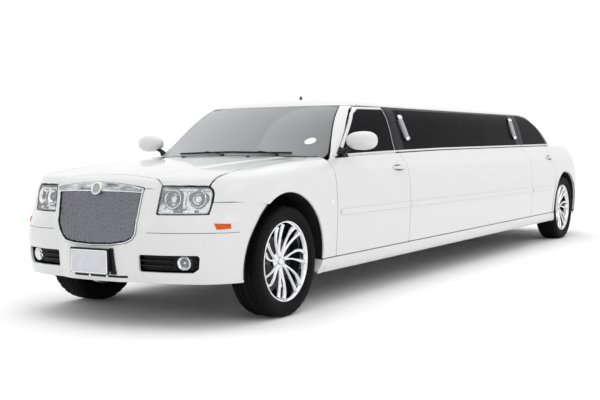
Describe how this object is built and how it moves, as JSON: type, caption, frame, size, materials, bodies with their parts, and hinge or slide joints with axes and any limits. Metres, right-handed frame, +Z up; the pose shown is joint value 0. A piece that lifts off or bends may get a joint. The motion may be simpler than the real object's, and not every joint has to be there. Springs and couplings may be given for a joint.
{
  "type": "stretch limousine",
  "caption": "Long-wheelbase passenger saloon with hinged doors, lids, steered front wheels and a hollow lounge cabin.",
  "frame": {"origin": "on the ground under the middle of the car's overall box", "axes": "+Z up, -Y forwards out of the nose, +X towards the car's left side"},
  "size_m": [2.2044, 8.072, 1.5179],
  "materials": {
    "white_paint": "gloss white lacquer",
    "bright_chrome": "polished",
    "bright_wheel": "polished bright",
    "tyre_rubber": "matt",
    "dark_glass": "dark tinted",
    "tinted_screen": "clear, lightly tinted",
    "clear_lens": "clear",
    "red_lens": "gloss",
    "black_plastic": "grained",
    "dark_trim": "soft-touch",
    "seat_leather": "grained",
    "underbody_black": "satin",
    "cast_iron": "rough",
    "engine_iron": "rough",
    "exhaust_steel": "dull"
  },
  "bodies": {
    "body_shell": {"arch_liners": "black_plastic", "centre_side_panels": "white_paint", "cowl": "black_plastic", "dashboard": "dark_trim", "engine": "engine_iron", "exhaust": "exhaust_steel", "floor_pan": "underbody_black", "fog_lamps": "black_plastic", "front_bumper": "white_paint", "front_fenders": "white_paint", "front_plate_bracket": "black_plastic", "front_seats": "seat_leather", "front_subframe": "cast_iron", "fuel_tank": "black_plastic", "grille": "bright_chrome", "headlamps": "clear_lens", "long_side_windows": "dark_glass", "partition": "dark_trim", "passenger_bench": "seat_leather", "propeller_shaft": "exhaust_steel", "rear_bumper": "white_paint", "rear_quarters": "white_paint", "rear_suspension": "cast_iron", "rear_window": "tinted_screen", "roof": "white_paint", "sills": "white_paint", "tail_lamps": "red_lens", "windscreen": "tinted_screen"},
    "bonnet_panel": {"bonnet": "white_paint"},
    "boot_panel": {"boot_lid": "white_paint"},
    "door_front_left": {"front_door_left": "white_paint", "front_door_glass_left": "dark_glass", "mirror_left": "white_paint"},
    "door_front_right": {"front_door_right": "white_paint", "front_door_glass_right": "dark_glass", "mirror_right": "white_paint"},
    "door_rear_left": {"rear_door_left": "white_paint", "rear_door_glass_left": "dark_glass"},
    "door_rear_right": {"rear_door_right": "white_paint", "rear_door_glass_right": "dark_glass"},
    "steering_left": {"front_knuckle_left": "cast_iron"},
    "steering_right": {"front_knuckle_right": "cast_iron"},
    "wheel_front_left": {"front_tyre_left": "tyre_rubber", "front_rim_left": "bright_wheel"},
    "wheel_front_right": {"front_tyre_right": "tyre_rubber", "front_rim_right": "bright_wheel"},
    "wheel_rear_left": {"rear_tyre_left": "tyre_rubber", "rear_rim_left": "bright_wheel"},
    "wheel_rear_right": {"rear_tyre_right": "tyre_rubber", "rear_rim_right": "bright_wheel"}
  },
  "joints": [
    {"name": "bonnet_hinge", "type": "hinge", "parent": "body_shell", "child": "bonnet_panel", "pos_m": [0, -2.59, 1.058], "axis": [-1, 0, 0], "range_deg": [0, 50]},
    {"name": "boot_hinge", "type": "hinge", "parent": "body_shell", "child": "boot_panel", "pos_m": [0, 3.033, 1.142], "axis": [1, 0, 0], "range_deg": [0, 75]},
    {"name": "front_door_left_hinge", "type": "hinge", "parent": "body_shell", "child": "door_front_left", "pos_m": [0.943, -2.531, 0.7], "axis": [0, 0, -1], "range_deg": [0, 65]},
    {"name": "front_door_right_hinge", "type": "hinge", "parent": "body_shell", "child": "door_front_right", "pos_m": [-0.943, -2.531, 0.7], "axis": [0, 0, 1], "range_deg": [0, 65]},
    {"name": "rear_door_left_hinge", "type": "hinge", "parent": "body_shell", "child": "door_rear_left", "pos_m": [0.943, 1.731, 0.7], "axis": [0, 0, -1], "range_deg": [0, 65]},
    {"name": "rear_door_right_hinge", "type": "hinge", "parent": "body_shell", "child": "door_rear_right", "pos_m": [-0.943, 1.731, 0.7], "axis": [0, 0, 1], "range_deg": [0, 65]},
    {"name": "steer_left", "type": "hinge", "parent": "body_shell", "child": "steering_left", "pos_m": [0.65, -3.153, 0.368], "axis": [0, 0, 1], "range_deg": [-32, 32]},
    {"name": "steer_right", "type": "hinge", "parent": "body_shell", "child": "steering_right", "pos_m": [-0.65, -3.153, 0.368], "axis": [0, 0, 1], "range_deg": [-32, 32]},
    {"name": "roll_front_left", "type": "hinge", "parent": "steering_left", "child": "wheel_front_left", "pos_m": [0.8, -3.153, 0.368], "axis": [1, 0, 0], "continuous": true},
    {"name": "roll_front_right", "type": "hinge", "parent": "steering_right", "child": "wheel_front_right", "pos_m": [-0.8, -3.153, 0.368], "axis": [1, 0, 0], "continuous": true},
    {"name": "roll_rear_left", "type": "hinge", "parent": "body_shell", "child": "wheel_rear_left", "pos_m": [0.8, 2.943, 0.368], "axis": [1, 0, 0], "continuous": true},
    {"name": "roll_rear_right", "type": "hinge", "parent": "body_shell", "child": "wheel_rear_right", "pos_m": [-0.8, 2.943, 0.368], "axis": [1, 0, 0], "continuous": true}
  ],
  "couplings": [
    {"joint": "steer_right", "follows": "steer_left", "ratio": 1}
  ]
}
